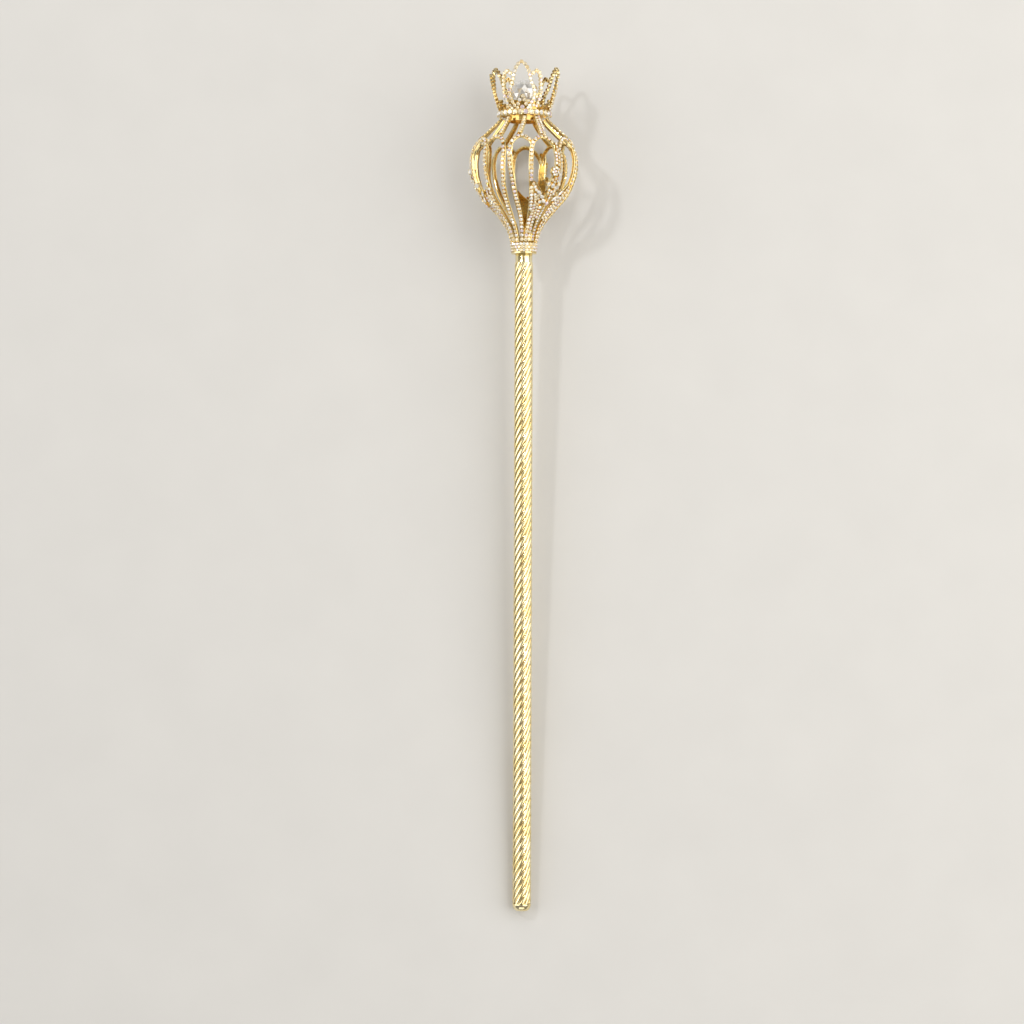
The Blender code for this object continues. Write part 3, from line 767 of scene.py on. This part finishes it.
class SCEPTRE_OT_rod(bpy.types.Operator):
    """Rope-twisted rod with its plain neck"""

    bl_idname = "sceptre.rod"
    bl_label = "Twisted Rod"

    def execute(self, context):
        sizes = context.scene.sceptre_sizes
        per_strand = 8
        count = sizes.strand_count * per_strand
        deselect_all()
        bpy.ops.mesh.primitive_circle_add(
            vertices=count, radius=sizes.rod_radius, fill_type="NOTHING",
            location=(0.0, 0.0, 0.0))
        rope = bpy.context.object
        # Each strand is nearly flat on top and falls off steeply into the groove
        for level in range(1, per_strand // 2 + 1):
            share = level / (per_strand / 2)
            depth = sizes.strand_depth * share ** 3
            select_points(rope, lambda vertex: level == min(
                vertex.index % per_strand, per_strand - vertex.index % per_strand))
            scale = 1 - depth / sizes.rod_radius
            bpy.ops.transform.resize(value=(scale, scale, 1.0), center_override=(0, 0, 0))
        bpy.ops.object.mode_set(mode="OBJECT")
        length = NECK_START - ROD_START
        turns = length / sizes.strand_lead
        screw = rope.modifiers.new("twist", "SCREW")
        screw.axis = "Z"
        screw.angle = 2 * math.pi * turns
        screw.screw_offset = length
        screw.steps = round(turns * count / 2)
        screw.render_steps = screw.steps
        screw.use_merge_vertices = False
        bpy.ops.object.modifier_apply(modifier="twist")
        bpy.ops.object.mode_set(mode="EDIT")
        bpy.ops.mesh.select_all(action="DESELECT")
        bpy.ops.mesh.select_non_manifold()
        bpy.ops.mesh.edge_face_add()
        bpy.ops.mesh.select_all(action="SELECT")
        bpy.ops.mesh.normals_make_consistent(inside=False)
        bpy.ops.object.mode_set(mode="OBJECT")
        self.mark_groove_shade(rope, sizes)
        rope.location = (0.0, 0.0, ROD_START)
        neck = turned("neck", (
            (NECK_RADIUS, NECK_START - 4 * MM), (NECK_RADIUS, ROD_END - 0.2 * MM),
            (NECK_RADIUS - 0.2 * MM, ROD_END)), 48)
        rod = join_pieces("twisted_rod", [rope, neck])
        finish_piece(rod, gold_plate("polished_gold_plate_on_tube", 0.17, 0.8, 0.5),
                     "shaft", slot="twisted_gold_rod", smooth=60.0)
        return {"FINISHED"}

    def mark_groove_shade(self, rope, sizes):
        """Marks painted shade by how deep each point lies between the strands."""
        values = []
        for vertex in rope.data.vertices:
            depth = sizes.rod_radius - math.hypot(vertex.co.x, vertex.co.y)
            values.append(min(max(depth / sizes.strand_depth, 0.0), 1.0) ** 2 * 0.7)
        mark = rope.data.attributes.new("painted_recess_shade", "FLOAT", "POINT")
        mark.data.foreach_set("value", values)


class SCEPTRE_OT_end_cap(bpy.types.Operator):
    """Rounded end cap of the rod"""

    bl_idname = "sceptre.end_cap"
    bl_label = "End Cap"

    def execute(self, context):
        rows = [(0.8 * MM, 0.0), (2.55 * MM, 0.0)]
        for step in range(1, 13):
            turn = math.pi / 2 * step / 12
            rows.append((CAP_RADIUS - 2.4 * MM * (1 - math.sin(turn)),
                         3.7 * MM * (1 - math.cos(turn))))
        rows += [(CAP_RADIUS - 0.06 * MM, 3.84 * MM), (CAP_RADIUS - 0.3 * MM, CAP_LENGTH),
                 (3.4 * MM, CAP_LENGTH), (3.4 * MM, CAP_LENGTH + 1.2 * MM)]
        cap = turned("rod_end_cap", rows, 48)
        finish_piece(cap, gold_plate("polished_gold_plate_on_cap", 0.17, 0.7, 0.2),
                     "butt_cap", slot="gold_end_cap", smooth=40.0)
        return {"FINISHED"}


class SCEPTRE_OT_collar(bpy.types.Operator):
    """Collar paved with three rows of stones"""

    bl_idname = "sceptre.collar"
    bl_label = "Paved Collar"

    def execute(self, context):
        sizes = context.scene.sceptre_sizes
        low, high = 6.95 * MM - 0.62 * MM, 7.75 * MM - 0.62 * MM
        bore = 4.7 * MM
        body = turned("collar_body", (
            (bore, COLLAR_START + 0.3 * MM), (bore, COLLAR_START),
            (6.7 * MM, COLLAR_START), (6.9 * MM, COLLAR_START + 0.2 * MM),
            (6.9 * MM, COLLAR_START + 0.6 * MM), (low, COLLAR_START + 0.8 * MM),
            (high, COLLAR_END - 0.3 * MM), (high - 0.3 * MM, COLLAR_END)), 56)
        form = (COLLAR_START, COLLAR_END - COLLAR_START, 6.95 * MM, 0.8 * MM,
                ((0.0, 0.0), (0.14, 0.0), (1.0, 1.0)))
        field = StoneField(form, 0.0, 11)
        diameter = sizes.paving_diameter
        for row in range(3):
            share = 0.285 + 0.272 * row
            count = round(2 * math.pi * radius_at(form, share) / (diameter * 1.09))
            for index in range(count):
                angle = 360.0 * (index + 0.5 * (row % 2)) / count
                field.at(angle, share, diameter, -0.36 * diameter / 2, gap=0.7)
        stone, cup = stone_shape(), cup_shape(CLOSED_CUP)
        cups, stones = field.pieces("collar", stone, cup)
        remove(stone)
        remove(cup)
        metal = join_pieces("collar_metal", [body, cups])
        finish_piece(metal, gold_plate("cast_gold_plate_on_collar", 0.2, 0.8, 0.3),
                     "collar", slot="stone_set_collar")
        finish_piece(stones, foil_backed_stone(), slot="stone_set_collar", smooth=None)
        return {"FINISHED"}


class SCEPTRE_OT_head(bpy.types.Operator):
    """Three openwork head panels with their stones"""

    bl_idname = "sceptre.head"
    bl_label = "Openwork Head"

    def execute(self, context):
        masters = stone_shape(), cup_shape(PANEL_CUP), cup_shape(CLOSED_CUP)
        for number in range(3):
            self.panel(context.scene.sceptre_sizes, number, masters)
        for master in masters:
            remove(master)
        return {"FINISHED"}

    def panel(self, sizes, number, masters):
        """One panel: ribs, arches, leaves and spray, then their stones."""
        turn = 40.0 + 120.0 * number
        metal = Metalwork(HEAD, turn)
        drop = sizes.setting_depth
        width = sizes.rib_width
        thick = 2.3 * MM - drop
        side = sized(SIDE_RIB, width)
        border = border_rows(width * 0.96)
        outer = sized(OUTER_ARCH, width * 0.88)
        inner = sized(INNER_ARCH, width * 0.88)
        neck = sized(NECK_RIB, width * 1.04)
        leaf = sized(LEAF, 7.4 * MM)
        for place in (lambda rows: rows, mirrored):
            metal.rib(place(side), -drop, thick)
            metal.rib(place(border), -drop - 0.02 * MM, thick)
            metal.bar(place(outer), -drop - 0.17 * MM, thick * 0.8)
            metal.bar(place(inner), -drop - 0.22 * MM, thick * 0.8)
            metal.rib(place(neck), -drop - 0.06 * MM, thick, 8)
            metal.bar(place(leaf), -drop - 0.28 * MM, 1.1 * MM)
        main_neck = sized(MAIN_NECK_RIB, 3.2 * MM)
        spray = sized(SPRAY, 5.8 * MM)
        rail = sized(RAIL, 1.6 * MM)
        metal.rib(main_neck, -drop + 0.03 * MM, thick, 8)
        metal.bar([(angle, share, max(size * 0.72, 3.6 * MM)) for angle, share, size in spray],
                  -drop + 0.4 * MM, 1.5 * MM)
        # Plate behind the flower cluster
        plate = [(-4.7, 0.502, 3.0), (-4.7, 0.518, 4.7), (-4.7, 0.55, 4.7), (-4.7, 0.566, 3.0)]
        metal.bar([(angle, share, size * MM) for angle, share, size in plate],
                  -drop + 0.55 * MM, 1.5 * MM, 8)
        # Plain gold edge along the left leaf
        edge = [(-26.6, 0.435), (-19.3, 0.382), (-11.5, 0.327)]
        metal.bar([(angle, share, 1.0 * MM) for angle, share in edge], -0.3 * MM, 1.2 * MM, 8)
        metal.bar(rail, -drop - 0.42 * MM, 0.9 * MM, 8)
        foot_end = border[0][0]
        foot = [(foot_end * part, 0.021, 2.4 * MM) for part in (-1.0, -0.33, 0.33, 1.0)]
        metal.bar(foot, -drop - 0.4 * MM, 0.9 * MM)
        field = StoneField(HEAD, turn, 20 + number)
        if number == 2:
            for angle, share, diameter in ((-2.5, 0.56, 3.1), (-10.0, 0.5, 2.6), (7.6, 0.441, 2.9)):
                field.at(angle, share, diameter * MM, 0.2 * MM, tone=0.1, lean=32.0)
        self.spray_stones(field, sizes)
        self.leaf_stones(field, sizes, leaf)
        top = -0.18 * sizes.stone_diameter
        diameter = sizes.stone_diameter
        pitch = sizes.stone_pitch
        for place in (lambda rows: rows, mirrored):
            field.along(place(side), top, diameter, pitch)
            field.along(place(border), top - 0.02 * MM, diameter * 0.96, pitch)
        for place in (lambda rows: rows, mirrored):
            field.along(place(outer), top - 0.17 * MM, diameter * 0.94, pitch)
            field.along(place(inner), top - 0.22 * MM, diameter * 0.94, pitch)
            field.along(place(neck), top - 0.06 * MM, diameter, pitch)
        field.along(main_neck, top + 0.03 * MM, sizes.paving_diameter, 1.95 * MM, 0.85 * MM)
        field.along(main_neck, top + 0.03 * MM, sizes.paving_diameter, 1.95 * MM, -0.85 * MM, 0.1)
        field.along(rail, top - 0.42 * MM, 1.5 * MM, 1.7 * MM)
        field.along(foot, top - 0.42 * MM, sizes.paving_diameter, 1.9 * MM, gap=0.7)
        cups, stones = field.pieces("head_panel_%d" % (number + 1), *masters, small=1.8 * MM)
        ribs = metal.piece("ribs")
        slot = "stone_set_panel_%d" % (number + 1)
        joined = join_pieces("head_panel_%d_metal" % (number + 1), [ribs, cups])
        finish_piece(joined, gold_plate("cast_gold_plate_on_head", 0.17, 0.8, 0.3),
                     "head_panel_%d" % (number + 1), slot=slot)
        finish_piece(stones, foil_backed_stone(), slot=slot, smooth=None)

    def spray_stones(self, field, sizes):
        """Flower cluster, three larger stones below it and stems of small ones above."""
        top = 0.04 * MM
        field.at(-4.7, 0.534, 1.8 * MM, top, tone=0.93)
        for index in range(7):
            turn = 2 * math.pi * index / 7
            field.at(-4.7 + 3.6 * math.sin(turn), 0.534 + 0.0265 * math.cos(turn),
                     1.5 * MM, top + 0.45 * MM, gap=0.6, tone=0.1)
        field.keep_clear(-4.7, 0.534, 5.4 * MM)
        for angle, share, diameter, tone in (
                (-10.2, 0.434, 2.3, None), (-4.2, 0.424, 2.5, 0.2), (4.0, 0.438, 2.3, None),
                (-3.3, 0.292, 2.7, 0.93)):
            field.at(angle, share, diameter * MM, top + 0.2 * MM, tone=tone)
            field.keep_clear(angle, share, (diameter + 0.35) * MM)
        rows = sized(SPRAY, 5.8 * MM)
        for offset, start in ((0.0, 0.5), (1.75 * MM, 0.1), (-1.75 * MM, 0.1)):
            field.along(rows, top - 0.1 * MM, 1.65 * MM, 1.95 * MM, offset, start, gap=0.88)

    def leaf_stones(self, field, sizes, leaf):
        """Long stones on the edges of the V and paving on the rest of the leaves."""
        top = -0.36 * MM - 0.1 * MM
        for angle, share, heading, length in (
                (-20.4, 0.366, 50.0, 3.3), (-15.2, 0.336, 50.0, 3.3), (-10.2, 0.306, 50.0, 3.3),
                (7.2, 0.331, -45.0, 4.6), (13.4, 0.374, -45.0, 4.4)):
            field.at(angle, share, 2.0 * MM, top + 0.5 * MM, length * MM, heading, tone=0.1)
        field.at(-15.2, 0.295, 2.1 * MM, top + 0.1 * MM, tone=0.1)
        field.at(-11.3, 0.255, 2.1 * MM, top + 0.1 * MM, tone=0.1)
        diameter = sizes.paving_diameter
        for rows in (leaf, mirrored(leaf)):
            for column in (0, 1, -1, 2, -2):
                field.along(rows, top - 0.1 * MM, diameter, diameter * 1.1,
                            column * diameter * 0.96, 0.5 if column % 2 == 0 else 0.05,
                            gap=0.82)


class SCEPTRE_OT_crown(bpy.types.Operator):
    """Crown: band, floor with its seat, plates and paved petals"""

    bl_idname = "sceptre.crown"
    bl_label = "Petal Crown"

    def execute(self, context):
        sizes = context.scene.sceptre_sizes
        seat = sizes.ball_radius + 0.3 * MM
        rows = [(8.56, 0.0), (8.56, -2.4), (9.76, -2.4), (9.76, 0.0), (13.9, 0.0),
                (14.35, 0.12), (14.45, 0.35), (14.1, 0.6), (14.1, 2.2), (14.45, 2.45),
                (14.35, 2.7), (14.0, 2.8), (12.6, 2.8), (12.55, 1.2), (5.9, 1.2)]
        rows = [(radius * MM, CROWN_START + height * MM) for radius, height in rows]
        for part in (1.0, 0.8, 0.6, 0.4, 0.2, 0.05):
            radius = 5.6 * MM * part
            rows.append((radius, BALL_HEIGHT - math.sqrt(seat ** 2 - radius ** 2)))
        body = turned("crown_body", rows, 72)
        # Painted shade on all faces inside the band: its inner wall, the floor, the bore and the
        # seat of the ball
        mark = body.data.attributes.new("painted_recess_shade", "FLOAT", "POINT")
        mark.data.foreach_set("value", [
            0.8 if math.hypot(vertex.co.x, vertex.co.y) < 13.0 * MM else 0.0
            for vertex in body.data.vertices])
        parts = [body]
        field = StoneField(CROWN, 0.0, 51)
        self.band_stones(field)
        for group in range(3):
            turn = -5.0 + 120.0 * group
            field.turn = turn
            parts.append(self.group(sizes, field, turn))
        masters = stone_shape(), cup_shape(PETAL_CUP), cup_shape(CLOSED_CUP)
        cups, stones = field.pieces("crown", *masters, small=1.8 * MM)
        for master in masters:
            remove(master)
        metal = join_pieces("crown_metal", parts + [cups])
        finish_piece(metal, gold_plate("cast_gold_plate_on_crown", 0.17, 0.8, 0.3),
                     "crown", slot="stone_set_crown")
        finish_piece(stones, foil_backed_stone(), slot="stone_set_crown", smooth=None)
        return {"FINISHED"}

    def band_stones(self, field):
        """One row of larger stones round the band."""
        for index in range(30):
            angle = 360.0 * (index + 0.25) / 30
            field.at(angle, 0.05, 2.75 * MM, 0.12 * MM)

    def group(self, sizes, field, turn):
        """Three petals on their plate."""
        metal = Metalwork(CROWN, turn)
        width = 1.9 * MM
        left = [(-angle, share, width) for angle, share in TALL_PETAL]
        right = [(angle, share, width) for angle, share in reversed(TALL_PETAL)]
        tall = left + [(0.0, 0.961, width)] + right
        flank = [(angle, share, width) for angle, share in FLANK_PETAL]
        plate = []
        for angle, factor in PLATE:
            height = factor * 5.2 * MM
            plate.append((angle, (2.3 * MM + height / 2) / CROWN_LENGTH, height))
        lattice = [(angle, share, width) for angle, share in LATTICE]
        drop = 0.75 * MM
        top = -0.32 * MM
        diameter = sizes.petal_diameter
        pitch = diameter * 1.07
        small = sizes.paving_diameter
        strands = (
            (tall, 0.0), (flank, 0.1 * MM), (mirrored(flank), 0.12 * MM),
            (lattice, 0.3 * MM), (mirrored(lattice), 0.35 * MM))
        for rows, sink in strands:
            link = [(angle, share, 0.8 * MM) for angle, share, size in rows]
            metal.bar(link, -0.45 * MM - sink, 0.3 * MM, back=PETAL_BACK)
            field.along(rows, top - sink, diameter, pitch)
        metal.bar(plate, -drop - 0.25 * MM, 0.8 * MM, back=PLATE_BACK)
        field.at(0.0, 0.268, 2.2 * MM, top, tone=0.98)
        field.at(0.5, 0.13, 2.3 * MM, top, tone=0.93)
        for row in (-1, 0, 1):
            field.along(plate, top - 0.35 * MM, small, small * 1.07, row * small,
                        0.3 + 0.4 * (row % 2), gap=0.78)
        return metal.piece("petals")


class SCEPTRE_OT_crystal_ball(bpy.types.Operator):
    """Faceted crystal ball in the crown"""

    bl_idname = "sceptre.crystal_ball"
    bl_label = "Crystal Ball"

    def execute(self, context):
        radius = context.scene.sceptre_sizes.ball_radius
        rows = []
        for latitude in (-75, -56, -37, -18.5, 0, 18.5, 37, 56, 75):
            level = math.radians(latitude)
            rows.append((radius * math.cos(level), BALL_HEIGHT + radius * math.sin(level)))
        ball = turned("cut_crystal_ball", rows, 16, stagger=True)
        # Painted reflections: a random tone for each facet, mostly near white
        tones = np.random.default_rng(7).random(len(ball.data.polygons)) ** 0.35
        mark = ball.data.attributes.new("painted_facet_glint", "FLOAT", "FACE")
        mark.data.foreach_set("value", tones.astype(np.float32))
        finish_piece(ball, cut_crystal(), "crystal_ball", slot="clear_crystal", smooth=None)
        return {"FINISHED"}


class SCEPTRE_OT_stage(bpy.types.Operator):
    """Pale floor, soft studio lights and the camera"""

    bl_idname = "sceptre.stage"
    bl_label = "Stage"

    def execute(self, context):
        deselect_all()
        bpy.ops.mesh.primitive_plane_add(size=8.0, location=(0.0, 0.0, 0.0))
        floor = context.object
        floor.name = "stage_floor"
        floor.data.materials.append(floor_plaster())
        world = bpy.data.worlds.new("soft_room")
        context.scene.world = world
        world.use_nodes = True
        background = world.node_tree.nodes["Background"]
        background.inputs["Color"].default_value = linear("#D4D2D2")
        background.inputs["Strength"].default_value = 0.32
        # Name, place, size along x and y, power in watts, colour
        for name, place, size, power, colour in (
                ("key_right", (1.05, 0.1, 1.1), (1.9, 1.7), 21.0, "#FFFCF6"),
                ("soft_left", (-0.8, 0.0, 1.3), (1.0, 1.8), 1.6, "#FFF8EC"),
                ("strip_left", (-3.06, 0.0, 1.35), (1.71, 3.96), 48.6, "#FFFEFA"),
                ("soft_high", (0.0, 1.3, 1.15), (1.5, 0.9), 6.0, "#FFFBF2"),
                ("soft_low", (0.0, -1.4, 0.8), (1.5, 0.8), 4.0, "#FFFBF2"),
                ("spark_left", (-0.8, 0.7, 1.3), (0.12, 0.12), 4.0, "#FFFFFF")):
            self.area_light(name, Vector(place), size, power, colour)
        context.scene.view_settings.view_transform = "Standard"
        self.camera(context)
        return {"FINISHED"}

    def area_light(self, name, place, size, power, colour):
        light = bpy.data.lights.new(name, "AREA")
        light.shape = "RECTANGLE"
        light.size, light.size_y = size
        light.energy = power
        light.color = linear(colour)[:3]
        item = bpy.data.objects.new(name, light)
        bpy.context.scene.collection.objects.link(item)
        item.location = place
        item.rotation_euler = (-place).to_track_quat("-Z", "Y").to_euler()

    def camera(self, context):
        """Looks squarely at the lying sceptre from the photograph's distance."""
        pixel = 0.5412 * MM
        distance = 2926 * pixel
        target = LYING @ Vector(((512 - 523.0) * pixel, 0.0, (910.5 - 512) * pixel))
        turn = LYING.to_3x3()
        right = turn @ Vector((1.0, 0.0, 0.0))
        up = turn @ Vector((0.0, 0.0, 1.0))
        front = turn @ Vector((0.0, -1.0, 0.0))
        camera = bpy.data.cameras.new("camera")
        camera.sensor_width = 36.0
        camera.lens = 36.0 * 2926 / 1024
        camera.clip_start = 0.01
        item = bpy.data.objects.new("camera", camera)
        context.scene.collection.objects.link(item)
        facing = Matrix((right, up, front)).transposed().to_4x4()
        roll = Matrix.Rotation(math.radians(0.2), 4, "Z")
        item.matrix_world = Matrix.Translation(target + front * distance) @ facing @ roll
        context.scene.camera = item


class SCEPTRE_PT_pieces(bpy.types.Panel):
    """Sizes, colours and pieces of the sceptre"""

    bl_idname = "SCEPTRE_PT_pieces"
    bl_label = "Jewelled Sceptre"
    bl_space_type = "VIEW_3D"
    bl_region_type = "UI"
    bl_category = "Sceptre"

    def draw(self, context):
        layout = self.layout
        for group in (context.scene.sceptre_sizes, context.scene.sceptre_colours):
            box = layout.box()
            for name in group.__annotations__:
                box.prop(group, name)
        for operator in PIECE_OPERATORS:
            layout.operator(operator.bl_idname)


PIECE_OPERATORS = (
    SCEPTRE_OT_rod, SCEPTRE_OT_end_cap, SCEPTRE_OT_collar, SCEPTRE_OT_head,
    SCEPTRE_OT_crown, SCEPTRE_OT_crystal_ball, SCEPTRE_OT_stage,
)
CLASSES = (SceptreSizes, SceptreColours) + PIECE_OPERATORS + (SCEPTRE_PT_pieces,)


def register():
    for item in CLASSES:
        bpy.utils.register_class(item)
    bpy.types.Scene.sceptre_sizes = PointerProperty(type=SceptreSizes)
    bpy.types.Scene.sceptre_colours = PointerProperty(type=SceptreColours)


def unregister():
    del bpy.types.Scene.sceptre_colours
    del bpy.types.Scene.sceptre_sizes
    for item in reversed(CLASSES):
        bpy.utils.unregister_class(item)


def main():
    register()
    for step in (bpy.ops.sceptre.rod, bpy.ops.sceptre.end_cap, bpy.ops.sceptre.collar,
                 bpy.ops.sceptre.head, bpy.ops.sceptre.crown, bpy.ops.sceptre.crystal_ball,
                 bpy.ops.sceptre.stage):
        step()


if __name__ == "__main__":
    main()
